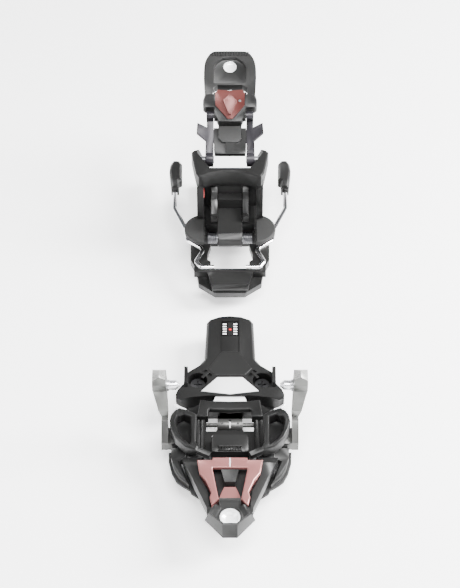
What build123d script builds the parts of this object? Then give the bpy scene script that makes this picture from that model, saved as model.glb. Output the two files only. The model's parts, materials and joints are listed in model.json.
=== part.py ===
from build123d import *
from math import cos, radians, sin
import os

# A two-piece touring binding for one ski. The origin is the centre of the toe piece's four
# mounting screws, on the ski's top face. +Y runs towards the ski's tail, +X is sideways and
# +Z is up. All sizes are in millimetres.

# ---- driving dimensions ------------------------------------------------------------------
PIN_SPAN = 60.0  # between the two toe pins' tips
PIN_Y = 6.0
PIN_Z = 36.0
PIN_R = 3.0

TOE_SCREW_X = 20.0  # half the spacing of the toe screws across the ski
TOE_SCREW_Y = 27.0  # half their spacing along it
HEEL_SCREW_X = 14.0
HEEL_SCREW_Y = 24.0
HEEL_Y = 194.0  # centre of the heel piece's screws
THREAD_R = 2.75
THREAD_DEPTH = 8.0  # how far a screw goes into the ski
NECK_R = 2.4
HOLE_R = 2.9
HEAD_R = 4.6
HEAD_T = 3.2

BASE_T = 5.0  # both base plates
RUN = 0.3  # gap between pieces that slide past each other
FIT = 0.05  # radial gap of a pin or shaft in its bore

TOE_TOP = 15.0  # top of the toe housing, under the boot
HOUSING_HEAD_Z = 11.0  # top of a rear toe screw's head
SPRING_BORE_R = 4.1
SPRING_Z = 9.5

CARRIAGE_TOP = 14.0
BRIDGE_TOP = 20.0
LOOP_TOP = 24.0
DRUM_Y = -6.0
DRUM_Z = 12.2
ARM_PIVOT_X = 31.0
ARM_PIVOT_Z = 9.0
LEVER_Y = -36.0  # toe lever's hinge
LEVER_Z = 13.0
CUP_Y = -78.0
BUTTON_Y = -51.0  # the button that locks the lever

HEEL_PIVOT_Y = 196.0  # the heel jaw turns up about this axis
HEEL_PIVOT_Z = 18.0
BRAKE_Y = 156.0
BRAKE_Z = 11.0
BRAKE_WIRE_R = 1.6
RAIL_TOP = 8.4  # top of the heel's length rail
PAD_Z = 20.6  # underside of the heel pads, on the pedal
BACK_Y = 185.0  # the heel lever's hinge
BACK_Z = 56.8
BACK_TILT = 20.0  # the lever's slope above the ski, in degrees
AID_V = 32.4  # the climbing aid's hinge, along the lever
AID_W = 3.0  # and above the lever's middle plane

os.makedirs("parts", exist_ok=True)


# ---- helpers -----------------------------------------------------------------------------
def face(plane, points):
    """A flat face with straight sides through the points."""
    with BuildSketch(plane, mode=Mode.PRIVATE) as sketch:
        with BuildLine():
            Polyline(*points, close=True)
        make_face()
    return sketch.sketch


def slab(z, height, points, mode=Mode.ADD):
    """A plan outline (x, y) raised from z."""
    extrude(face(Plane.XY.offset(z), points), amount=height, mode=mode)


def rib(x, width, points, mode=Mode.ADD):
    """A side outline (y, z) swept from x towards +X."""
    extrude(face(Plane.YZ.offset(x), points), amount=width, mode=mode)


def block(x, y, z, mode=Mode.ADD):
    """A box given by its (low, high) along each axis."""
    size = [high - low for low, high in (x, y, z)]
    middle = [(low + high) / 2 for low, high in (x, y, z)]
    with Locations(tuple(middle)):
        Box(*size, mode=mode)


def rod(axis, start, radius, length, mode=Mode.ADD):
    """A cylinder that starts at a point and runs along +X, +Y or +Z."""
    normal = {"x": (1, 0, 0), "y": (0, 1, 0), "z": (0, 0, 1)}[axis]
    with BuildSketch(Plane(origin=start, z_dir=normal), mode=Mode.PRIVATE) as circle:
        Circle(radius)
    extrude(circle.sketch, amount=length, mode=mode)


def both_sides(half):
    """Close a symmetric outline whose right half is given from one end to the other."""
    return half + [(-x, y) for x, y in reversed(half) if x > 0]


def flip(points):
    return [(-x, y) for x, y in points]


def spring(y0, y1, z, radius, wire, turns):
    """A compression spring that lies along Y."""
    length = y1 - y0
    with BuildLine(mode=Mode.PRIVATE) as coil:
        Helix(pitch=length / turns, height=length, radius=radius, center=(0, y0, z), direction=(0, 1, 0))
    with BuildSketch(Plane(origin=coil.line @ 0, z_dir=coil.line % 0), mode=Mode.PRIVATE) as section:
        Circle(wire)
    sweep(section.sketch, path=coil.line)


def screw(x, y, seat):
    """A pan-head screw with a cross recess; its thread starts at the ski's top face."""
    rod("z", (x, y, seat), HEAD_R, HEAD_T)
    rod("z", (x, y, 0), NECK_R, seat)
    rod("z", (x, y, -THREAD_DEPTH), THREAD_R, THREAD_DEPTH)
    for wide, deep in ((2.6, 0.45), (0.45, 2.6)):
        low = seat + HEAD_T - 1.6
        block((x - wide, x + wide), (y - deep, y + deep), (low, seat + HEAD_T), Mode.SUBTRACT)


def finish(piece, name, parts):
    piece.part.label = name
    export_step(piece.part, f"parts/{name}.step")
    parts.append(name)


names = []
SIDES = (("left", -1), ("right", 1))

# ==== TOE PIECE ===========================================================================
# ---- base plate: screwed to the ski; its cross rail guides the toe carriage --------------
BASE_OUTLINE = both_sides(
    [(0, 79), (12.5, 78.5), (14.4, 75), (15, 46), (20, 38.5), (25.5, 34), (28, 25), (31, 16.5)]
    + [(31, 13.5), (24, 11), (24, -44), (19, -50), (0, -50)]
)
RAIL_X = 13.0
with BuildPart() as toe_base_plate:
    slab(0, BASE_T, BASE_OUTLINE)
    chamfer(toe_base_plate.edges().group_by(Axis.Z)[-1].sort_by(Axis.Y)[:1], length=1.5)
    block((-RAIL_X, RAIL_X), (-21, -16), (BASE_T, 7))
    block((-RAIL_X, RAIL_X), (-24, -13), (7, 9.5))
    for side in (-1, 1):
        block(sorted((side * 7.5, side * 14.8)), (-8, 8.5), (0, BASE_T), Mode.SUBTRACT)
        rod("z", (side * TOE_SCREW_X, TOE_SCREW_Y, 0), HOLE_R, BASE_T, Mode.SUBTRACT)
        rod("z", (side * TOE_SCREW_X, -TOE_SCREW_Y, 0), HOLE_R, BASE_T, Mode.SUBTRACT)
        rod("z", (side * TOE_SCREW_X, -TOE_SCREW_Y, 1.6), 5.0, BASE_T, Mode.SUBTRACT)
        # room for an open arm's foot when the carriage is at the end of its travel
        block(sorted((side * 17, side * 24.1)), (-21, -6.4), (2.7, BASE_T), Mode.SUBTRACT)
finish(toe_base_plate, "toe_base_plate", names)

with BuildPart() as toe_screws_rear:
    for side in (-1, 1):
        screw(side * TOE_SCREW_X, TOE_SCREW_Y, HOUSING_HEAD_Z - HEAD_T)
finish(toe_screws_rear, "toe_screws_rear", names)

with BuildPart() as toe_screws_front:
    for side in (-1, 1):
        screw(side * TOE_SCREW_X, -TOE_SCREW_Y, 1.6)
finish(toe_screws_front, "toe_screws_front", names)

# ---- housing: the rear tongue with the release spring, and the two shoulders -------------
HOUSING_OUTLINE = both_sides(
    [(0, 82.2), (7, 81.4), (13, 78.8), (15.1, 75.5), (16, 45), (21, 37.6), (26, 33.8), (28.6, 24.5)]
    + [(32, 20), (33.5, 16), (33.2, 12.6), (30, 11.4), (24, 13.6), (12, 15), (0, 15)]
)
FIN = [(21.5, TOE_TOP), (22.5, 18.5), (33.6, 20.5), (34, TOE_TOP)]
with BuildPart() as toe_housing:
    slab(BASE_T, TOE_TOP - BASE_T, HOUSING_OUTLINE)
    tops = toe_housing.faces().sort_by(Axis.Z)[-1].edges()
    chamfer(tops.filter_by(lambda e: e.center().Y > 40), length=1.6)
    # the shallow channel along the tongue, and the slots beside the badge
    block((-6, 6), (50, 80), (TOE_TOP - 0.5, TOE_TOP), Mode.SUBTRACT)
    for side in (-1, 1):
        with BuildSketch(Plane.XY.offset(TOE_TOP - 1)) as slot:
            with Locations((side * 13.8, 32.6)):
                Rectangle(2.4, 6.2, rotation=side * -42)
        extrude(amount=1, mode=Mode.SUBTRACT)
        # a recess for each rear screw
        rod("z", (side * TOE_SCREW_X, TOE_SCREW_Y, HOUSING_HEAD_Z - HEAD_T), 6.0, 8, Mode.SUBTRACT)
        rod("z", (side * TOE_SCREW_X, TOE_SCREW_Y, BASE_T), HOLE_R, 4, Mode.SUBTRACT)
        rib(side * 27.3 - 1.1, 2.2, FIN)
    # the release spring's bore, the window above it and the marker's slot
    rod("y", (0, 21, SPRING_Z), SPRING_BORE_R, 61.5, Mode.SUBTRACT)
    block((-5.4, 5.4), (64, 77), (SPRING_Z + 2, TOE_TOP - 0.5), Mode.SUBTRACT)
    rod("y", (0, 10, SPRING_Z), 2.25, 14, Mode.SUBTRACT)
    slab(TOE_TOP - 0.8, 0.8, both_sides([(0, 30), (8, 30), (18.4, 18.2), (0, 15.8)]), Mode.SUBTRACT)
finish(toe_housing, "toe_housing", names)

with BuildPart() as toe_badge:
    slab(TOE_TOP - 0.8, 0.7, both_sides([(0, 29.6), (7.8, 29.6), (17.8, 18.6), (0, 16.2)]))
finish(toe_badge, "toe_badge", names)

with BuildPart() as toe_front_mark:
    slab(12, 1.8, both_sides([(0, 14.9), (9, 14.9), (10.3, 10.8), (0, 10.8)]))
    chamfer(toe_front_mark.edges().group_by(Axis.Z)[-1].sort_by(Axis.Y)[0], length=1.2)
finish(toe_front_mark, "toe_front_mark", names)

with BuildPart() as scale_window:
    block((-5.3, 5.3), (64.1, 76.9), (TOE_TOP - 1.2, TOE_TOP - 0.6))
finish(scale_window, "scale_window", names)

# ---- lateral release: plunger, spring, spring seat with its marker, adjusting screw ------
with BuildPart() as release_plunger:
    rod("y", (0, 21.4, SPRING_Z), SPRING_BORE_R - FIT, 5)
    rod("y", (0, 11.2, SPRING_Z), 2.2, 10.5)
finish(release_plunger, "release_plunger", names)

with BuildPart() as toe_release_spring:
    spring(27.6, 59.6, SPRING_Z, 3.1, 0.7, 9)
finish(toe_release_spring, "toe_release_spring", names)

with BuildPart() as spring_seat:
    rod("y", (0, 61, SPRING_Z), SPRING_BORE_R - FIT, 7)
    rod("y", (0, 61, SPRING_Z), 2.3, 7, Mode.SUBTRACT)
finish(spring_seat, "spring_seat", names)

with BuildPart() as toe_release_screw:
    rod("y", (0, 60, SPRING_Z), 2.25, 19)
    rod("y", (0, 78.5, SPRING_Z), SPRING_BORE_R - FIT, 3)
    block((-3, 3), (80.2, 81.5), (SPRING_Z - 0.6, SPRING_Z + 0.6), Mode.SUBTRACT)
finish(toe_release_screw, "toe_release_screw", names)

# ---- carriage: slides sideways on the rail and carries arms, loops, skirts and lever -----
CARRIAGE_OUTLINE = both_sides(
    [(0, 9.4), (15, 9.4), (20, 8), (24.5, 4), (27, -2), (27, -22), (26, -30), (22, -40), (0, -42)]
)
with BuildPart() as toe_carriage:
    slab(BASE_T + 0.4, CARRIAGE_TOP - BASE_T - 0.4, CARRIAGE_OUTLINE)
    # the pocket behind the deck is open to the ski on both sides of the drum's shelf
    block((-14.4, 14.4), (-12, 6), (0, 20), Mode.SUBTRACT)
    block((-7.8, 7.8), (-12.1, -2), (BASE_T + 0.4, 8))
    block((-8.3, 8.3), (-12.1, -10.4), (8, 13))
    # running groove over the base plate's rail
    block((-30, 30), (-21 - RUN, -16 + RUN), (BASE_T, 7.2), Mode.SUBTRACT)
    block((-30, 30), (-24 - RUN, -13 + RUN), (7 - RUN, 9.5 + RUN), Mode.SUBTRACT)
    # lower front with two ears for the lever's axle
    block((-30, 30), (-45, -31.5), (8.2, 20), Mode.SUBTRACT)
    for side in (-1, 1):
        inner, outer = sorted((side * 11.2, side * 15.4))
        ear = [(-31.5, 8), (-31.5, 19), (-36, 19.5), (-39.5, 17), (-40.6, 13), (-40.6, 8)]
        rib(inner, outer - inner, ear)
        # side wall behind the deck, with its groove
        block(sorted((side * 15.2, side * 20)), (-28, -5.2), (CARRIAGE_TOP, 16.5))
        block(sorted((side * 17, side * 18)), (-28, -5.2), (15, 16.5), Mode.SUBTRACT)
        # ears for the toe arm's pin
        for near in (-7.2, -22.2):
            block(sorted((side * 26, side * 34.5)), (near, near + 2.2), (5.4, 12.6))
    for side in (-1, 1):
        rod("y", (side * ARM_PIVOT_X, -24, ARM_PIVOT_Z), 2.0, 21, Mode.SUBTRACT)
    rod("x", (-17, LEVER_Y, LEVER_Z), 2.5, 34, Mode.SUBTRACT)
    rod("x", (-15.6, DRUM_Y, DRUM_Z), 1.3 + FIT, 31.2, Mode.SUBTRACT)
finish(toe_carriage, "toe_carriage", names)

with BuildPart() as toe_bridge:
    half = [(0, 6.6), (12, 7), (18.2, 8), (19.8, -5), (13.2, -5), (13.2, -0.4), (12.2, 0.6), (0, -0.2)]
    slab(CARRIAGE_TOP, BRIDGE_TOP - CARRIAGE_TOP, both_sides(half))
    block((-14.4, 14.4), (-1, 6), (CARRIAGE_TOP, 17), Mode.SUBTRACT)
    chamfer(toe_bridge.edges().group_by(Axis.Z)[-1], length=0.6)
finish(toe_bridge, "toe_bridge", names)

with BuildPart() as setting_drum:
    rod("x", (-7.6, DRUM_Y, DRUM_Z), 3.9, 15.2)
    rod("x", (-15.2, DRUM_Y, DRUM_Z), 1.3, 30.4)
finish(setting_drum, "setting_drum", names)

with BuildPart() as toe_deck:
    profile = [(-19.4, CARRIAGE_TOP), (-19.4, 20), (-29.4, 20), (-31, 19.2), (-31.4, CARRIAGE_TOP)]
    rib(-10.9, 21.8, profile)
    block((-7, 7), (-30.6, -27.6), (18.6, 20), Mode.SUBTRACT)
    vertical = toe_deck.edges().filter_by(Axis.Z).group_by(Axis.Y)[-1]
    chamfer(vertical, length=1.2)
finish(toe_deck, "toe_deck", names)

LOOP_OUTER = [(20, -6.6), (22.3, -4.8), (26.2, -2.8), (30.6, -1.4), (33.6, -3.4), (35.2, -6.4)]
LOOP_OUTER += [(36.2, -11.2)]
LOOP_OUTER += [(35.1, -17.2), (32.3, -23.9), (26.4, -30.5), (20, -33), (18.6, -30.6), (20.2, -27)]
LOOP_INNER = [(23.6, -8.4), (27.9, -6.3), (31.2, -7.8), (32.6, -11.2), (31.2, -18.7), (28.1, -24.6)]
LOOP_INNER += [(23.9, -28.3), (23.2, -26.4)]
YOKE = [(20, -33), (12.4, -37), (11.2, -34.2), (17.6, -31), (18.6, -30.6)]
LOOP_CUT = [(20, -4), (27.2, -4), (27.2, -31), (20, -31)]
LOOP_WALL = [(31.4, -5), (34.4, -8), (34.8, -12), (31, -23), (29.6, -22.4), (32.8, -11.4)]
LOOP_RIB = [(20.6, -8), (23.2, -10), (23.2, -28), (20.6, -28)]
LOOP_FLOOR = [(20.6, -7.5), (26, -4.6), (31, -4), (34.4, -8), (34.8, -12), (31, -23), (26, -28.6), (20.6, -30)]
for label, side in SIDES:
    with BuildPart() as loop:
        slab(17, LOOP_TOP - 17, LOOP_OUTER if side > 0 else flip(LOOP_OUTER))
        slab(17, LOOP_TOP - 17, LOOP_INNER if side > 0 else flip(LOOP_INNER), Mode.SUBTRACT)
        chamfer(loop.edges().group_by(Axis.Z)[-1], length=0.8)
        slab(CARRIAGE_TOP - 1, 3, LOOP_FLOOR if side > 0 else flip(LOOP_FLOOR))
        slab(CARRIAGE_TOP - 1, 1, LOOP_CUT if side > 0 else flip(LOOP_CUT), Mode.SUBTRACT)
        slab(15, 3, LOOP_WALL if side > 0 else flip(LOOP_WALL))
        slab(CARRIAGE_TOP, 4, LOOP_RIB if side > 0 else flip(LOOP_RIB))
        slab(19.8, LOOP_TOP - 20.6, YOKE if side > 0 else flip(YOKE))
    finish(loop, f"toe_loop_{label}", names)

SKIRT = [(27.2, -22.6), (36.9, -22.6), (36.6, -30), (34.6, -38), (31.6, -44), (28.6, -46.6), (23.6, -50)]
SKIRT += [(22.6, -52.4), (16, -57), (14.6, -55.5), (22.4, -40.2), (26.2, -30)]
RIDGE = [(27.2, -22.6), (35.4, -22.6), (35, -30), (33, -37.5), (29.6, -43.5), (24.2, -48.6), (26.2, -42)]
RIDGE += [(30, -32), (26.4, -30)]
for label, side in SIDES:
    with BuildPart() as skirt:
        slab(BASE_T + 0.4, 1.5, SKIRT if side > 0 else flip(SKIRT))
        slab(BASE_T + 1.9, 4.6, RIDGE if side > 0 else flip(RIDGE))
        chamfer(skirt.faces().sort_by(Axis.Z)[-1].edges().sort_by(Axis.Y)[:3], length=1.2)
    finish(skirt, f"toe_skirt_{label}", names)

# ---- toe arms: they swing outwards to let the boot in, and carry the hardened pins -------
for label, side in SIDES:
    with BuildPart() as arm:
        # front view outline (x, z), cut to the arm's raked side profile
        front = [(37, 21), (41.4, 21), (46.4, 37), (46.4, 45), (42.2, 47.4), (38.4, 45.6), (37.6, 31)]
        plane = Plane.XZ.offset(-12)
        extrude(face(plane, front if side > 0 else flip(front)), amount=18)
        cut = [(-9.2, 21), (-2.6, 21), (3, 29), (10.6, 36), (11.4, 44), (8, 47.4), (2.6, 47.4)]
        cut += [(0.6, 42), (0.6, 36.4), (-4, 29)]
        extrude(face(Plane.YZ.offset(side * 30), cut), amount=side * 30, mode=Mode.INTERSECT)
        rod("x", (min(side * 36, side * 43), PIN_Y, PIN_Z), PIN_R + 0.6, 7, Mode.SUBTRACT)
    finish(arm, f"toe_arm_{label}", names)

    with BuildPart() as link:
        # the link goes down and forwards from the arm to its knuckle
        low, high = sorted((side * 37.2, side * 41.2))
        rib(low, high - low, [(-9.2, 20.9), (-2.6, 20.9), (-7.8, 5.6), (-19.6, 5.6), (-19.6, 12.4), (-14, 17)])
        web = sorted((side * 31, side * 37.6))
        block(web, (-19.6, -7.8), (6, 12))
        rod("y", (side * ARM_PIVOT_X, -19.6, ARM_PIVOT_Z), 3.4, 11.8)
        rod("y", (side * ARM_PIVOT_X, -24, ARM_PIVOT_Z), 2.0 + FIT, 21, Mode.SUBTRACT)
    finish(link, f"toe_arm_link_{label}", names)

    with BuildPart() as pin:
        # a stepped cylinder with a cone at the boot's side
        half = [(PIN_SPAN / 2, 0), (PIN_SPAN / 2, 0.9), (32.4, PIN_R), (36.6, PIN_R), (36.6, 3.6), (42.9, 3.6)]
        half += [(42.9, 0)]
        outline = face(Plane.XZ.offset(-PIN_Y), [(side * x, PIN_Z + r) for x, r in half])
        revolve(outline, axis=Axis((0, PIN_Y, PIN_Z), (1, 0, 0)))
    finish(pin, f"toe_pin_{label}", names)

with BuildPart() as arm_pivot_pins:
    for side in (-1, 1):
        rod("y", (side * ARM_PIVOT_X, -22, ARM_PIVOT_Z), 2.0, 17)
finish(arm_pivot_pins, "arm_pivot_pins", names)

# ---- toe lever: pressed down at its tip, it opens the arms -------------------------------
LEVER_PLAN = both_sides(
    [(0, -41.6), (16.4, -41.6), (16.4, -32.6), (28.6, -32.6), (28, -35), (13.4, -72), (13, -76), (0, -76)]
)
LEVER_SIDE = [(-32.6, 12), (-32.6, 15.4), (-38, 18), (-50, 19.6), (-66, 21), (-76, 21), (-76, 14.2), (-50, 12)]
TIP_LOW = both_sides([(0, -65), (6.4, -65), (14.6, -75.8), (4.2, -87.8), (0, -87.8)])
TIP_HIGH = both_sides([(0, -67.4), (6.4, -67.4), (12.3, -78), (4.2, -85.6), (0, -85.6)])
BOWL_LOW = both_sides([(0, -72), (5, -72), (8, -78.2), (3, -82.6), (0, -82.6)])
BOWL_HIGH = both_sides([(0, -68.8), (5.8, -68.8), (10.8, -77.9), (3.7, -84.4), (0, -84.4)])
WELL = [(0, -40.6), (18.4, -40.6), (17.4, -49.6), (13, -60), (11.6, -71), (0, -71)]
with BuildPart() as toe_lever:
    slab(0, 40, LEVER_PLAN)
    rib(-40, 80, LEVER_SIDE, Mode.INTERSECT)
    # the well that holds the lever plate
    slab(15.6, 20, both_sides(WELL), Mode.SUBTRACT)
    loft([face(Plane.XY.offset(14), TIP_LOW), face(Plane.XY.offset(24), TIP_HIGH)])
    loft([face(Plane.XY.offset(20.6), BOWL_LOW), face(Plane.XY.offset(24.01), BOWL_HIGH)], mode=Mode.SUBTRACT)
    rod("z", (0, CUP_Y, 16.5), 5.9, 10, Mode.SUBTRACT)
    # hub between the carriage's ears
    rod("x", (-10.8, LEVER_Y, LEVER_Z), 4.4, 21.6)
    block((-10.8, 10.8), (-44, -38), (12, 15.6))
    rod("x", (-20, LEVER_Y, LEVER_Z), 2.5 + FIT, 40, Mode.SUBTRACT)
    for side in (-1, 1):
        block(sorted((side * 10.8, side * 15.9)), (-42.4, -32), (0, 30), Mode.SUBTRACT)
        block(sorted((side * 6.2, side * 11.8)), (-71.8, -60), (15.6, 30), Mode.SUBTRACT)
    rod("z", (0, BUTTON_Y, 10), 1.8 + FIT, 10, Mode.SUBTRACT)
finish(toe_lever, "toe_lever", names)

with BuildPart() as toe_lever_axle:
    rod("x", (-15.4, LEVER_Y, LEVER_Z), 2.5, 30.8)
finish(toe_lever_axle, "toe_lever_axle", names)

PLATE = [(0, -37.8), (10, -37.8), (10.6, -39.6), (19.2, -39.6), (17.7, -49), (14.1, -54), (10.8, -62.4)]
PLATE += [(11.6, -66), (10.4, -71.4), (6.4, -67.4), (10.2, -46), (9.9, -45.2), (0, -45.2)]
PLATE_FOOT = [(10.4, -46), (16.6, -46), (16.4, -49.2), (13.2, -54.4), (10.2, -62.4), (11, -66), (9.9, -70.6)]
PLATE_FOOT += [(6.8, -67.2)]
with BuildPart() as toe_lever_plate:
    slab(20.9, 2.1, both_sides(PLATE))
    chamfer(toe_lever_plate.edges().group_by(Axis.Z)[-1], length=0.5)
    slab(15.7, 5.3, PLATE_FOOT)
    slab(15.7, 5.3, flip(PLATE_FOOT))
    slab(15.7, 3.9, both_sides([(0, -56.8), (3.2, -56.8), (4.6, -60), (6.2, -64.9), (0, -64.9)]))
    slab(15.7, 1.2, both_sides([(0, -62.6), (8, -62.6), (8, -64.6), (0, -64.6)]))
finish(toe_lever_plate, "toe_lever_plate", names)

with BuildPart() as lock_button:
    # a tapered thumb button, pressed down to lock the lever for the climb
    low = both_sides([(0, -46.4), (4.6, -46.4), (2.8, -56), (0, -56)])
    high = both_sides([(0, -45.8), (5.2, -45.8), (3.2, -54.6), (0, -54.6)])
    loft([face(Plane.XY.offset(17.4), low), face(Plane.XY.offset(21.8), high)])
    rod("z", (0, BUTTON_Y, 14), 1.8, 3.5)
finish(lock_button, "lock_button", names)

with BuildPart() as toe_pole_cup:
    half = [(0, 16.6), (5.8, 16.6), (5.8, 20.5), (5.2, 20.5), (4.6, 19.4), (2.6, 18.2), (0, 17.9)]
    outline = face(Plane.YZ, [(CUP_Y + r, z) for r, z in half])
    revolve(outline, axis=Axis((0, CUP_Y, 0), (0, 0, 1)))
finish(toe_pole_cup, "toe_pole_cup", names)

# ==== HEEL PIECE ==========================================================================
# ---- base plate with its length rail -----------------------------------------------------
with BuildPart() as heel_base_plate:
    block((-19, 19), (159, 229), (0, BASE_T))
    chamfer(heel_base_plate.edges().filter_by(Axis.Z), length=3)
    block((-5, 5), (161, 227), (BASE_T, 6.2))
    block((-8, 8), (161, 227), (6.2, RAIL_TOP))
    block((-3.1, 3.1), (161, 227), (5, RAIL_TOP), Mode.SUBTRACT)
    for x in (-HEEL_SCREW_X, HEEL_SCREW_X):
        for y in (HEEL_Y - HEEL_SCREW_Y, HEEL_Y + HEEL_SCREW_Y):
            rod("z", (x, y, 0), HOLE_R, BASE_T, Mode.SUBTRACT)
            rod("z", (x, y, 1.6), 4.8, BASE_T, Mode.SUBTRACT)
finish(heel_base_plate, "heel_base_plate", names)

with BuildPart() as heel_screws:
    for x in (-HEEL_SCREW_X, HEEL_SCREW_X):
        for y in (HEEL_Y - HEEL_SCREW_Y, HEEL_Y + HEEL_SCREW_Y):
            screw(x, y, 1.6)
finish(heel_screws, "heel_screws", names)

# ---- heel carriage: set along the rail to the boot's length ------------------------------
with BuildPart() as heel_carriage:
    body = [(160, 5.4), (213, 5.4), (213, 17), (207, 22), (188, 22), (184, 20.5), (160, 20.5)]
    rib(-16.6, 33.2, body)
    block((-8 - RUN, 8 + RUN), (150, 220), (6.2 - RUN, RAIL_TOP + RUN), Mode.SUBTRACT)
    block((-5 - RUN, 5 + RUN), (150, 220), (5, 6), Mode.SUBTRACT)
    block((-2.4, 2.4), (150, 206), (8, 10.4), Mode.SUBTRACT)
    rod("y", (0, 205, 8), 1.9 + FIT, 10, Mode.SUBTRACT)
    # the release spring's bore
    rod("y", (0, 174, 15.6), 4.8, 45, Mode.SUBTRACT)
    # ears for the brake's axle
    for side in (-1, 1):
        inner, outer = sorted((side * 15.4, side * 20.2))
        rib(inner, outer - inner, [(152.4, 8), (152.4, 14), (154.4, 16), (161, 15), (161, 6), (155, 6)])
    rod("x", (-30, BRAKE_Y, BRAKE_Z), 2.2, 60, Mode.SUBTRACT)
    rod("x", (-30, HEEL_PIVOT_Y, HEEL_PIVOT_Z), 3.0, 8 + 6.8, Mode.SUBTRACT)
    rod("x", (15.2, HEEL_PIVOT_Y, HEEL_PIVOT_Z), 3.0, 10, Mode.SUBTRACT)
finish(heel_carriage, "heel_carriage", names)

with BuildPart() as length_screw:
    rod("y", (0, 172, 8), 1.9, 41.4)
    rod("y", (0, 213.3, 8), 2.7, 3.4)
    block((-2.2, 2.2), (215.4, 216.7), (7.5, 8.5), Mode.SUBTRACT)
finish(length_screw, "length_screw", names)

with BuildPart() as heel_release_spring:
    spring(176, 204, 15.6, 3.6, 0.8, 8)
finish(heel_release_spring, "heel_release_spring", names)

with BuildPart() as heel_release_cap:
    rod("y", (0, 206, 15.6), 4.75, 7.6)
    block((-3.4, 3.4), (212, 213.6), (15, 16.2), Mode.SUBTRACT)
finish(heel_release_cap, "heel_release_cap", names)

# ---- jaw: turns up about the heel axle to let the boot go --------------------------------
WALL = [(160.5, 26), (160.5, 32), (163, 44), (165, 50), (193.6, 50), (201.4, 30), (202, 18), (199, 12.6)]
WALL += [(192, 12.4), (188.4, 17), (184, 26)]
HOOD = both_sides(
    [(0, 170.4), (7, 169.8), (13, 168), (18, 165.4), (20.8, 165.2), (22.6, 168.6), (24.6, 180)]
    + [(26, 189.5), (24.4, 191.6), (18.6, 193.8), (0, 193.8)]
)
NOTCH_HIGH = both_sides([(0, 173.5), (13.5, 173.5), (22.4, 189), (20.4, 197), (0, 197)])
NOTCH_LOW = both_sides([(0, 173.5), (10.5, 173.5), (17.6, 188), (17.6, 197), (0, 197)])
with BuildPart() as heel_housing:
    for side in (-1, 1):
        rib(min(side * 17.6, side * 22.2), 4.6, WALL)
    slab(49, 11, HOOD)
    chamfer(heel_housing.faces().sort_by(Axis.Z)[-1].edges(), length=0.9)
    # the V-shaped notch that the heel lever stands in
    loft([face(Plane.XY.offset(48.9), NOTCH_LOW), face(Plane.XY.offset(60.1), NOTCH_HIGH)], mode=Mode.SUBTRACT)
    rod("x", (-17.2, BACK_Y, BACK_Z), 5.3, 34.4, Mode.SUBTRACT)
    # the wall behind the boot's heel
    block((-17.8, 17.8), (170.6, 173.4), (28, 52))
    rod("x", (-25, HEEL_PIVOT_Y, HEEL_PIVOT_Z), 3.0 + FIT, 50, Mode.SUBTRACT)
    rod("x", (-23.5, BACK_Y, BACK_Z), 2.5, 47, Mode.SUBTRACT)
finish(heel_housing, "heel_housing", names)

with BuildPart() as heel_axle:
    for side in (-1, 1):
        start = min(side * 15.2, side * 22.4)
        rod("x", (start, HEEL_PIVOT_Y, HEEL_PIVOT_Z), 3.0, 7.2)
finish(heel_axle, "heel_axle", names)

TONGUE = [(170.5, 46), (170, 40), (163.4, 40), (163.4, 32.6), (139, 32.6), (135, 31), (132.8, 27), (136.6, 21.6)]
TONGUE += [(150, 22), (170.5, 28)]
with BuildPart() as heel_tongue:
    rib(-8.1, 16.2, TONGUE)
    nose = heel_tongue.edges().filter_by(lambda e: e.center().Y < 137 and abs(e.center().X) > 8)
    chamfer(nose, length=0.8)
finish(heel_tongue, "heel_tongue", names)

RAIL = [(170.5, 46), (166.4, 44.6), (164, 40), (153.6, 36.4), (151, 36.6), (149.4, 33), (160, 30), (170.5, 32)]
with BuildPart() as heel_rails:
    for side in (-1, 1):
        rib(min(side * 8.4, side * 12.4), 4, RAIL)
finish(heel_rails, "heel_rails", names)

# ---- heel lever: pressed down behind, it opens the heel; built in its own tilted plane ---
TILT = radians(BACK_TILT)
LEVER_PLANE = Plane(origin=(0, BACK_Y, BACK_Z), x_dir=(1, 0, 0), z_dir=(0, -sin(TILT), cos(TILT)))


def tilted(w, height, points, mode=Mode.ADD):
    """An outline (x, distance along the lever) raised from w above the lever's middle plane."""
    extrude(face(LEVER_PLANE.offset(w), points), amount=height, mode=mode)


def on_lever(v, w):
    """The row position (y, z) of a point v along the lever and w above its middle plane."""
    return (BACK_Y + v * cos(TILT) - w * sin(TILT), BACK_Z + v * sin(TILT) + w * cos(TILT))


AID_Y, AID_Z = on_lever(AID_V, AID_W)
ARM = [(11.2, 0), (16.6, 0), (16.6, 13), (15.7, 14.5), (22.8, 21.1), (22.3, 28.5), (15.7, 24.8)]
ARM += [(16, 32.4), (11.2, 32.4)]
for label, side in SIDES:
    with BuildPart() as lever_arm:
        tilted(-2.6, 3.0, ARM if side > 0 else flip(ARM))
        rod("x", (min(side * 11.2, side * 16.6), BACK_Y, BACK_Z), 4.8, 5.4)
        rod("x", (min(side * 11.2, side * 16), AID_Y, AID_Z), 2.9, 4.8)
        tilted(0.3, 2.7, [(side * x, v) for x, v in ((11.2, 30), (16, 30), (16, 34), (11.2, 34))])
        rod("x", (-30, AID_Y, AID_Z), 1.8, 60, Mode.SUBTRACT)
        rod("x", (-30, BACK_Y, BACK_Z), 2.5 + FIT, 60, Mode.SUBTRACT)
    finish(lever_arm, f"heel_lever_arm_{label}", names)

with BuildPart() as heel_lever_axle:
    for side in (-1, 1):
        rod("x", (min(side * 10.8, side * 22.6), BACK_Y, BACK_Z), 2.5, 11.8)
finish(heel_lever_axle, "heel_lever_axle", names)

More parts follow.
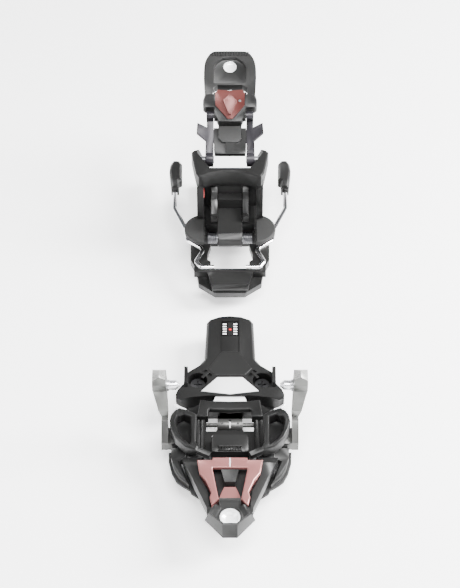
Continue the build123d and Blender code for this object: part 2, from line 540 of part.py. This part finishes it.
with BuildPart() as heel_lever_bridge:
    tilted(-2.6, 3.4, both_sides([(0, 4.2), (10.2, 4.2), (10.9, 8), (10.9, 23.9), (0, 23.9)]))
    tilted(0.8, 1.2, both_sides([(0, 3.4), (2.9, 3.4), (2.9, 12.1), (0, 12.1)]))
    # side lugs join it to the arms
    for side in (-1, 1):
        tilted(-2.4, 2.6, [(side * x, v) for x, v in ((10.8, 14), (11.2, 14), (11.2, 23), (10.8, 23))])
finish(heel_lever_bridge, "heel_lever_bridge", names)

with BuildPart() as heel_lever_shield:
    tilted(0.8, 1.7, both_sides([(0, 12.2), (5.4, 12.2), (7.8, 15.2), (7.8, 24.2), (0, 24.2)]))
finish(heel_lever_shield, "heel_lever_shield", names)

# ---- climbing aid: flips forwards over the heel; a pole tip moves it by its cup ----------
COLLAR = [(0, 25.8), (7.5, 25.8), (10.5, 32.6), (10.6, 36.8), (16.9, 36.8), (18.4, 38.3), (18.5, 42.6)]
COLLAR += [(17.3, 46.8), (11.4, 46.8), (11.2, 48), (10.2, 48.6), (0, 48.6)]
INSERT = [(0, 27.8), (1.7, 27.8), (9.9, 38.3), (10.1, 47.9), (8.4, 50.2), (0, 49.6)]
CAP_END = 81.6
CUP_V = 71.4
with BuildPart() as climbing_aid_collar:
    tilted(-1, 8, both_sides(COLLAR))
    upper = climbing_aid_collar.faces().sort_by(Axis((0, 0, 0), LEVER_PLANE.z_dir))[-1]
    chamfer(upper.edges().filter_by(lambda e: abs(e.center().X) > 17.8), length=0.9)
    rod("x", (-10.9, AID_Y, AID_Z), 3.9, 21.8)
    rod("x", (-30, AID_Y, AID_Z), 1.8 + FIT, 60, Mode.SUBTRACT)
    tilted(6, 4, both_sides([(0, 27.4), (1.9, 27.4), (10.1, 38.1), (10.3, 49), (0, 49)]), Mode.SUBTRACT)
finish(climbing_aid_collar, "climbing_aid_collar", names)

with BuildPart() as climbing_aid_insert:
    tilted(6.1, 1.1, both_sides(INSERT))
    tilted(7.2, 1.6, both_sides([(0, 30.3), (0.6, 30.3), (4.7, 41.1), (0, 46.5)]))
finish(climbing_aid_insert, "climbing_aid_insert", names)

with BuildPart() as climbing_aid_cap:
    with BuildSketch(LEVER_PLANE.offset(-0.6)):
        with BuildLine():
            Line((-17.2, 46.9), (17.2, 46.9))
            Line((17.2, 46.9), (18, 59.5))
            Spline((18, 59.5), (15.6, 76.8), (9.4, CAP_END), tangents=((0, 1), (-1, 0.1)))
            Line((9.4, CAP_END), (-9.4, CAP_END))
            Spline((-9.4, CAP_END), (-15.6, 76.8), (-18, 59.5), tangents=((-1, -0.1), (0, -1)))
            Line((-18, 59.5), (-17.2, 46.9))
        make_face()
    extrude(amount=7)
    # the see-through gap before the dish, and the dish itself
    tilted(-3, 14, both_sides([(0, 46), (11.7, 46), (11.7, 52.4), (8.5, 54.6), (0, 54.6)]), Mode.SUBTRACT)
    dish = both_sides([(0, 56), (11.1, 56), (11.2, 69.2), (9, 73.6), (5.1, 76.6), (0, 77.4)])
    tilted(2.6, 10, dish, Mode.SUBTRACT)
    with BuildSketch(LEVER_PLANE.offset(-0.4)):
        with Locations((0, CUP_V)):
            Circle(4.5)
    extrude(amount=10, mode=Mode.SUBTRACT)
finish(climbing_aid_cap, "climbing_aid_cap", names)

with BuildPart() as heel_pole_cup:
    with BuildSketch(LEVER_PLANE.offset(-0.3)):
        with Locations((0, CUP_V)):
            Circle(4.45)
    extrude(amount=2.6)
    with BuildSketch(LEVER_PLANE.offset(1.2)):
        with Locations((0, CUP_V)):
            Circle(3.7)
    extrude(amount=2, mode=Mode.SUBTRACT)
finish(heel_pole_cup, "heel_pole_cup", names)

with BuildPart() as climbing_aid_axle:
    rod("x", (-16, AID_Y, AID_Z), 1.8, 32)
finish(climbing_aid_axle, "climbing_aid_axle", names)

# ---- ski brake: the boot presses the pedal down; freed, its wires swing down behind ------
WIRE = [(10.6, 126, 13.6), (19.6, 126, 13.6), (22.8, 131, 13.8), (17.8, 142, 14.2)]
WIRE += [(28.8, 150.6, 14.2), (30.4, 163, 13.2), (38.6, 183.5, 13), (38.6, 214, 13)]
BENDS = [2.2, 2.2, 4, 5, 8, 8]


def bent_wire(side, radius, mode=Mode.ADD):
    """A round bar along the brake wire's route."""
    x, y, z = WIRE[0]
    with BuildLine(mode=Mode.PRIVATE) as route:
        FilletPolyline(*[(side * a, b, c) for a, b, c in WIRE], radius=BENDS)
    with BuildSketch(Plane(origin=(side * x, y, z), z_dir=(side, 0, 0)), mode=Mode.PRIVATE) as section:
        Circle(radius)
    sweep(section.sketch, path=route.line, mode=mode)


FRAME = [(12.9, 127), (24, 127.4), (26.4, 133), (26.8, 151.6), (26.4, 158), (21, 160), (20.8, 147.8)]
FRAME += [(13, 147.8), (15.2, 137.6), (15.2, 133), (12.9, 131.4)]
with BuildPart() as brake_frame:
    for side in (-1, 1):
        slab(8, 5.6, FRAME if side > 0 else flip(FRAME))
        rod("x", (min(side * 20.8, side * 26.2), BRAKE_Y, BRAKE_Z), 4.0, 5.4)
        block(sorted((side * 21, side * 26.2)), (148.6, 158), (12, PAD_Z))
    block((-24, 24), (122.2, 125.8), (8, 12.6))
    block((-24, -12.9), (125.4, 127.6), (8, 12.6))
    block((12.9, 24), (125.4, 127.6), (8, 12.6))
    rod("x", (-30, BRAKE_Y, BRAKE_Z), 2.2 + FIT, 60, Mode.SUBTRACT)
    for side in (-1, 1):
        bent_wire(side, BRAKE_WIRE_R + 0.05, Mode.SUBTRACT)
finish(brake_frame, "brake_frame", names)

with BuildPart() as heel_pads:
    # two half discs with their flat sides towards the boot's middle
    for side in (-1, 1):
        with BuildSketch(Plane.XY.offset(PAD_Z)):
            with Locations((side * 17.4, 153)):
                Circle(13.3)
            with Locations((side * 17.4 - side * 20, 153)):
                Rectangle(40, 40, mode=Mode.SUBTRACT)
        extrude(amount=3.6)
    chamfer(heel_pads.edges().group_by(Axis.Z)[-1], length=0.7)
finish(heel_pads, "heel_pads", names)

with BuildPart() as brake_pedal:
    wings = both_sides([(0, 124.6), (11, 124.6), (22.2, 126), (21, 116.4), (10, 107.6), (0, 107.6)])
    slab(3.6, 4.4, wings)
    slab(8, 5.2, both_sides([(0, 122.1), (15.3, 122.1), (11.8, 108.6), (0, 108.6)]))
    front = brake_pedal.edges().group_by(Axis.Z)[-1].sort_by(Axis.Y)[0]
    chamfer(front, length=2.2)
finish(brake_pedal, "brake_pedal", names)

with BuildPart() as brake_axle:
    rod("x", (-26, BRAKE_Y, BRAKE_Z), 2.2, 52)
finish(brake_axle, "brake_axle", names)

for label, side in SIDES:
    with BuildPart() as wire:
        bent_wire(side, BRAKE_WIRE_R)
    finish(wire, f"brake_wire_{label}", names)

    with BuildPart() as tip:
        shaft = [(35.9, 201), (41.3, 201), (42.2, 211), (43.2, 219), (42.6, 225.6), (40.5, 230.2)]
        shaft += [(36.6, 230), (34.3, 226.4), (33.9, 210), (35.9, 208.6)]
        slab(9.2, 7.8, shaft if side > 0 else flip(shaft))
        chamfer(tip.edges().group_by(Axis.Z)[-1], length=1.6)
        rod("y", (side * 38.6, 199, 13), BRAKE_WIRE_R + 0.02, 15.1, Mode.SUBTRACT)
    finish(tip, f"brake_tip_{label}", names)

with BuildPart() as brake_spring:
    # a torsion spring's coils round the axle, between the carriage's ears
    for side in (-1, 1):
        for turn in range(5):
            x = side * (9.4 + turn * 1.28)
            with BuildSketch(Plane.XY.offset(BRAKE_Z), mode=Mode.PRIVATE) as ring:
                with Locations((x, BRAKE_Y + 2.95)):
                    Circle(0.7)
            revolve(ring.sketch, axis=Axis((0, BRAKE_Y, BRAKE_Z), (1, 0, 0)))
finish(brake_spring, "brake_spring", names)

print(len(names), "nodes")
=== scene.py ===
import json
import math

import bpy
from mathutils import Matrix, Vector


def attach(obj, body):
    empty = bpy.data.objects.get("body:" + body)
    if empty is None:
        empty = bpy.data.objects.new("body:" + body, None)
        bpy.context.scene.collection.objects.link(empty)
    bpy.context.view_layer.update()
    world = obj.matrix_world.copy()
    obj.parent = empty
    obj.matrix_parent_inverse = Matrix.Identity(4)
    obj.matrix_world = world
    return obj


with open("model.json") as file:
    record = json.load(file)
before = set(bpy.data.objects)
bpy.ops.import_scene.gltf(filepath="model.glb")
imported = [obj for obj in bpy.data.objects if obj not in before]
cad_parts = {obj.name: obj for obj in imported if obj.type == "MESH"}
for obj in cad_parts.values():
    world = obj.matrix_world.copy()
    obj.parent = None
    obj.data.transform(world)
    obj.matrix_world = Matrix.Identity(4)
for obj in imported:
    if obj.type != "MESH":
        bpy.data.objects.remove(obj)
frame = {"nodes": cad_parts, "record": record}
NODES = frame["nodes"]
MM = 0.001
FLOOR_Z = -8.0  # the screws' points stand on the floor
FLOOR_GLOW = 0.8
WELD_GAP = 0.000002
EDGE_WIDTH = 0.0004  # softening of the CAD pieces' edges
EDGE_ANGLE = math.radians(28)  # sharper bends than this count as edges


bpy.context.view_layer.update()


# ---- materials ---------------------------------------------------------------------------
def material(name, dark, light, rough, metal=0.0, grain=900.0, bump=0.15, **extra):
    """A finish whose colour, gloss and surface vary a little over the piece."""
    mat = bpy.data.materials.new(name)
    mat.use_nodes = True
    tree = mat.node_tree
    shader = tree.nodes["Principled BSDF"]
    where = tree.nodes.new("ShaderNodeTexCoord")
    fine = tree.nodes.new("ShaderNodeTexNoise")
    fine.inputs["Scale"].default_value = grain
    fine.inputs["Detail"].default_value = 4.0
    broad = tree.nodes.new("ShaderNodeTexNoise")
    broad.inputs["Scale"].default_value = 45.0
    ramp = tree.nodes.new("ShaderNodeMix")
    ramp.data_type = "RGBA"
    ramp.inputs["A"].default_value = (*dark, 1)
    ramp.inputs["B"].default_value = (*light, 1)
    gloss = tree.nodes.new("ShaderNodeMapRange")
    gloss.inputs["To Min"].default_value = rough * 0.85
    gloss.inputs["To Max"].default_value = rough * 1.15
    relief = tree.nodes.new("ShaderNodeBump")
    relief.inputs["Strength"].default_value = bump
    relief.inputs["Distance"].default_value = 0.00006
    for noise in (fine, broad):
        tree.links.new(where.outputs["Object"], noise.inputs["Vector"])
    tree.links.new(broad.outputs["Fac"], ramp.inputs["Factor"])
    tree.links.new(fine.outputs["Fac"], gloss.inputs["Value"])
    tree.links.new(fine.outputs["Fac"], relief.inputs["Height"])
    tree.links.new(ramp.outputs["Result"], shader.inputs["Base Color"])
    tree.links.new(gloss.outputs["Result"], shader.inputs["Roughness"])
    tree.links.new(relief.outputs["Normal"], shader.inputs["Normal"])
    shader.inputs["Metallic"].default_value = metal
    for socket, value in extra.items():
        shader.inputs[socket].default_value = value
    return mat


def grey(level):
    return (level, level, level * 0.985)


# darkest and lightest colour, roughness, other shader settings
FINISHES = {
    "black_nylon": (grey(0.006), grey(0.009), 0.42, {"Specular IOR Level": 0.22}),
    "dark_nylon": (grey(0.008), grey(0.012), 0.36, {"Specular IOR Level": 0.25}),
    "grey_nylon": (grey(0.011), grey(0.016), 0.36, {"Specular IOR Level": 0.26}),
    "pad_rubber": (grey(0.012), grey(0.017), 0.6, {"bump": 0.3, "Specular IOR Level": 0.25}),
    "black_alloy": (grey(0.007), grey(0.010), 0.42, {"Specular IOR Level": 0.3}),
    "dark_alloy": (grey(0.007), grey(0.011), 0.36, {"metal": 0.15, "Specular IOR Level": 0.28}),
    "grey_alloy": ((0.07, 0.07, 0.068), (0.11, 0.11, 0.107), 0.36, {"metal": 0.7}),
    "forged_alloy": ((0.56, 0.56, 0.545), (0.62, 0.62, 0.605), 0.28, {"metal": 0.8, "bump": 0.04}),
    "violet_alloy": ((0.013, 0.012, 0.015), (0.021, 0.019, 0.023), 0.36, {"metal": 0.4}),
    "rose_metal": ((0.22, 0.082, 0.079), (0.32, 0.140, 0.131), 0.30, {"metal": 0.5, "bump": 0.03}),
    "rose_dark": ((0.060, 0.014, 0.012), (0.105, 0.028, 0.024), 0.34, {"metal": 0.4}),
    "bright_cup": ((0.86, 0.86, 0.87), (0.94, 0.94, 0.95), 0.26, {"metal": 0.3}),
    "steel_screws": ((0.035, 0.035, 0.037), (0.06, 0.06, 0.062), 0.36, {"metal": 0.7}),
    "steel_pins": ((0.20, 0.20, 0.21), (0.28, 0.28, 0.29), 0.30, {"metal": 0.85}),
    "hard_steel": ((0.62, 0.62, 0.64), (0.74, 0.74, 0.76), 0.22, {"metal": 0.8}),
    "spring_steel": ((0.14, 0.14, 0.15), (0.20, 0.20, 0.21), 0.33, {"metal": 0.8}),
    "bright_wire": ((0.70, 0.70, 0.71), (0.80, 0.80, 0.81), 0.16, {"metal": 1.0}),
    # painted shade: a darker copy of forged_alloy, put on the forged pieces' flanks
    "forged_painted_shade": ((0.12, 0.122, 0.116), (0.15, 0.152, 0.145), 0.40, {"metal": 0.6, "bump": 0.04}),
    "pale_badge": ((0.70, 0.70, 0.71), (0.78, 0.78, 0.79), 0.4, {}),
    "clear_window": (grey(0.004), grey(0.006), 0.2, {"Specular IOR Level": 0.3}),
    "red_marker": ((0.42, 0.012, 0.01), (0.52, 0.02, 0.015), 0.4, {}),
}
FINISH = {
    name: material(name, dark, light, rough, **extra)
    for name, (dark, light, rough, extra) in FINISHES.items()
}
SLOT_OF = {part["node"]: part["material_slot"] for part in frame["record"]["subparts"]}
SLOT_OF["climbing_aid_insert"] = "rose_dark"
SLOT_OF["setting_drum"] = "grey_alloy"

for name, node in NODES.items():
    node.data.materials.clear()
    node.data.materials.append(FINISH[SLOT_OF[name]])
    weld = node.modifiers.new("weld", "WELD")
    weld.merge_threshold = WELD_GAP
    bevel = node.modifiers.new("bevel", "BEVEL")
    bevel.width = EDGE_WIDTH
    bevel.segments = 2
    bevel.limit_method = "ANGLE"
    bevel.angle_limit = EDGE_ANGLE
    bevel.harden_normals = True
    for face in node.data.polygons:
        face.use_smooth = True
    if SLOT_OF[name] == "forged_alloy":
        # painted shade: the flanks facing inward or toward the front get a darker copy of the forged finish,
        # the upper faces keep the bright one
        node.data.materials.append(FINISH["forged_painted_shade"])
        for face in node.data.polygons:
            inward = face.normal.x * (1 if face.center.x < 0 else -1)
            frontal = face.normal.y < -0.5 and face.normal.z < 0.75
            face.material_index = 1 if frontal or inward > 0.6 else 0


# ---- details too fine for the CAD pieces -------------------------------------------------
LEVER_AT = (185.0, 56.8)  # the heel lever's hinge: y and z
LEVER_TILT = math.radians(20)
DRUM_AT = (-6.0, 12.2)  # the setting drum's axis: y and z


def level(x, y, z):
    return (x * MM, y * MM, z * MM)


def along_lever(x, v, w):
    """A point v along the heel lever and w above its middle plane."""
    y = LEVER_AT[0] + v * math.cos(LEVER_TILT) - w * math.sin(LEVER_TILT)
    z = LEVER_AT[1] + v * math.sin(LEVER_TILT) + w * math.cos(LEVER_TILT)
    return (x * MM, y * MM, z * MM)


def upright(x, y, z):
    """An outline in the y-z plane, thick in x."""
    return (z * MM, x * MM, y * MM)


def detail(name, body, finish, outlines, low, high, place=level, edge=0.15, taper=0.0):
    """Flat-topped pieces with softened edges, one outline each, joined in one object."""
    points = []
    faces = []
    for outline in outlines:
        start = len(points)
        count = len(outline)
        mx = sum(x for x, _ in outline) / count
        my = sum(y for _, y in outline) / count
        points += [place(x, y, low) for x, y in outline]
        points += [place(x + (mx - x) * taper, y + (my - y) * taper, high) for x, y in outline]
        faces.append([start + i for i in reversed(range(count))])
        faces.append([start + count + i for i in range(count)])
        for i in range(count):
            n = (i + 1) % count
            faces.append([start + i, start + n, start + count + n, start + count + i])
    mesh = bpy.data.meshes.new(name)
    mesh.from_pydata(points, [], faces)
    mesh.validate()
    obj = bpy.data.objects.new(name, mesh)
    bpy.context.collection.objects.link(obj)
    bpy.context.view_layer.objects.active = obj
    obj.select_set(True)
    bpy.ops.object.mode_set(mode="EDIT")
    bpy.ops.mesh.select_all(action="SELECT")
    bpy.ops.mesh.normals_make_consistent(inside=False)
    bpy.ops.object.mode_set(mode="OBJECT")
    obj.select_set(False)
    mesh.materials.append(FINISH[finish])
    bevel = obj.modifiers.new("bevel", "BEVEL")
    bevel.width = edge * MM
    bevel.segments = 2
    bevel.limit_method = "ANGLE"
    bevel.harden_normals = True
    for face in mesh.polygons:
        face.use_smooth = True
    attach(obj, body)
    return obj


def around_drum(x, turn, radius):
    """A point on the setting drum, turned from its top by some degrees."""
    y = DRUM_AT[0] + radius * math.sin(math.radians(turn))
    z = DRUM_AT[1] + radius * math.cos(math.radians(turn))
    return (x * MM, y * MM, z * MM)


def mirrored(*outlines):
    """Each outline and its copy on the other side."""
    return [*outlines, *[[(-x, y) for x, y in outline] for outline in outlines]]


def bar(x0, x1, y0, y1):
    return [(x0, y0), (x1, y0), (x1, y1), (x0, y1)]


def disc(x, y, radius, count=20):
    turns = [2 * math.pi * i / count for i in range(count)]
    return [(x + radius * math.cos(t), y + radius * math.sin(t)) for t in turns]


# toe housing: raised spade on the tongue, dark plates as painted shade in the slots and in the scale's
# groove, scale with its marker
spade = [(0, 50.5), (-5.4, 50), (-13.6, 36.4), (-9.4, 31.2), (9.4, 31.2), (13.6, 36.4), (5.4, 50)]
detail("housing_spade", "base", "dark_nylon", [spade], 14.9, 15.35, edge=0.25)
slot_outline = [(12.8, 33.2), (14.2, 34.2), (18.2, 29.6), (16.8, 28.4)]
# painted shade: dark plates standing for the shade inside the housing's slots
detail("housing_slot_painted_shade", "base", "black_nylon", mirrored(slot_outline), 14.8, 15.3)
ticks = [bar(2.2, 4.6, 65.4 + step * 2.1, 66.3 + step * 2.1) for step in range(5)]
detail("scale_ticks", "base", "pale_badge", mirrored(*ticks), 14.35, 14.5, edge=0.04)
# painted shade: a dark strip standing for the shade in the scale's groove
detail("scale_groove_painted_shade", "base", "black_nylon", [bar(-1.2, 1.2, 65, 75.6)], 14.35, 14.45, edge=0.04)
detail("scale_marker", "base", "red_marker", [disc(0.1, 69.6, 0.75)], 14.35, 14.6, edge=0.08)

# toe carriage: grille bars, bright hooks beside the arms
grille = [bar(-6.3 + step * 1.6, -5.7 + step * 1.6, -30.3, -27.9) for step in range(8)]
detail("deck_grille", "toe_carriage_unit", "dark_nylon", grille, 18.4, 19.7, edge=0.1)
hook = [(26.2, 1.0), (30, 2.2), (33.6, 5), (34.6, 7.2), (33.4, 7.6), (31.8, 6), (29, 4), (26, 2.8)]
detail("arm_hooks", "toe_carriage_unit", "bright_cup", mirrored(hook), 15.5, 17.4, edge=0.5, taper=0.15)

# the drum's white tick, and dark plates as painted shade in its tool holes
tick = [bar(-0.3, 0.3, -62 + step * 11, -52 + step * 11) for step in range(5)]
detail("drum_tick", "drum_unit", "pale_badge", tick, 3.8, 4.0, place=around_drum, edge=0.03)
# painted shade: dark plates standing for the shade inside the drum's tool holes
hole_shades = [bar(-5.4, -4.2, -30, -12), bar(4.2, 5.4, -30, -12), bar(-0.8, 0.8, 2, 22)]
detail("drum_hole_painted_shade", "drum_unit", "black_nylon", hole_shades, 3.8, 3.98, place=around_drum, edge=0.03)

# toe lever: bright centre line on the rose plate, inset strips on the rails
inset = [(20.2, -47.4), (19.0, -50.4), (14.9, -55.6), (12.0, -62.6), (15.6, -65.8), (17.6, -60)]
inset.append((21.4, -50))
detail("rail_insets", "toe_lever_unit", "black_nylon", mirrored(inset), 17.7, 18.15, edge=0.15)
detail("plate_line", "toe_lever_unit", "bright_cup", [bar(-0.3, 0.3, -44.6, -38.4)], 22.9, 23.08, edge=0.03)

# heel lever: ribs across the cap's end, the insert's small screw
ribs = []
for step in range(14):
    left = -12.1 + step * 1.85
    ribs.append(bar(left, -11.1 + step * 1.85, 77.9, 80.9 + 0.5 * math.cos(0.26 * (step - 6.5))))
detail("cap_ribs", "climbing_aid_unit", "grey_nylon", ribs, 6.2, 7.3, place=along_lever, edge=0.25)
detail("insert_screw", "climbing_aid_unit", "steel_pins", [disc(6.6, 41.6, 0.9)], 7.1, 7.5, place=along_lever)
line = [(163.6, 41.6), (172, 46.6), (172, 47.3), (163.6, 42.3)]
detail("jaw_line", "jaw_unit", "red_marker", [line], -17.65, -17.35, place=upright, edge=0.05)

# ---- stage: floor, light and camera ------------------------------------------------------
def floor():
    """A broad pale surface that curves up far behind."""
    rows = [(-6.0, 0.0), (3.3, 0.0), (3.9, 0.06), (4.3, 0.35), (4.5, 0.9), (4.55, 2.4)]
    points = [(x, y, FLOOR_Z * MM + z) for y, z in rows for x in (-6.0, 6.0)]
    faces = [(i, i + 1, i + 3, i + 2) for i in range(0, 2 * len(rows) - 2, 2)]
    mesh = bpy.data.meshes.new("floor")
    mesh.from_pydata(points, [], faces)
    obj = bpy.data.objects.new("floor", mesh)
    bpy.context.collection.objects.link(obj)
    glow = {"Emission Color": (1, 1, 1, 1), "Emission Strength": FLOOR_GLOW}
    finish = material("floor", (0.90, 0.90, 0.905), (0.93, 0.93, 0.93), 0.7, grain=60, bump=0.02, **glow)
    mesh.materials.append(finish)
    return obj


def lamp(name, place, aim, size, power, colour=(1, 1, 1)):
    data = bpy.data.lights.new(name, "AREA")
    data.shape = "RECTANGLE"
    data.size, data.size_y = size
    data.energy = power
    data.color = colour
    obj = bpy.data.objects.new(name, data)
    obj.location = place
    obj.rotation_euler = (Vector(aim) - Vector(place)).to_track_quat("-Z", "Y").to_euler()
    bpy.context.collection.objects.link(obj)


floor()
lamp("key", (0.95, 0.20, 0.75), (0, 0.08, 0.02), (0.4, 0.7), 75)
lamp("fill", (-1.0, -0.1, 0.7), (0, 0.08, 0.02), (0.5, 0.9), 12)
lamp("top", (0.1, -0.25, 1.35), (0, 0.08, 0.0), (0.9, 0.6), 50)
lamp("front", (0.1, -1.0, 0.4), (0, 0.0, 0.02), (1.0, 0.3), 7)
world = bpy.data.worlds.new("studio")
world.use_nodes = True
world.node_tree.nodes["Background"].inputs["Color"].default_value = (0.95, 0.96, 1.0, 1)
world.node_tree.nodes["Background"].inputs["Strength"].default_value = 0.2
bpy.context.scene.world = world

camera = bpy.data.cameras.new("camera")
camera.sensor_fit = "VERTICAL"
camera.sensor_height = 36.0
camera.lens = 87.76
camera.clip_end = 20.0
eye = bpy.data.objects.new("camera", camera)
eye.location = (0.0, -0.5405, 0.7021)
eye.rotation_euler = (math.radians(90 - 47), 0, 0)
bpy.context.collection.objects.link(eye)
bpy.context.scene.camera = eye
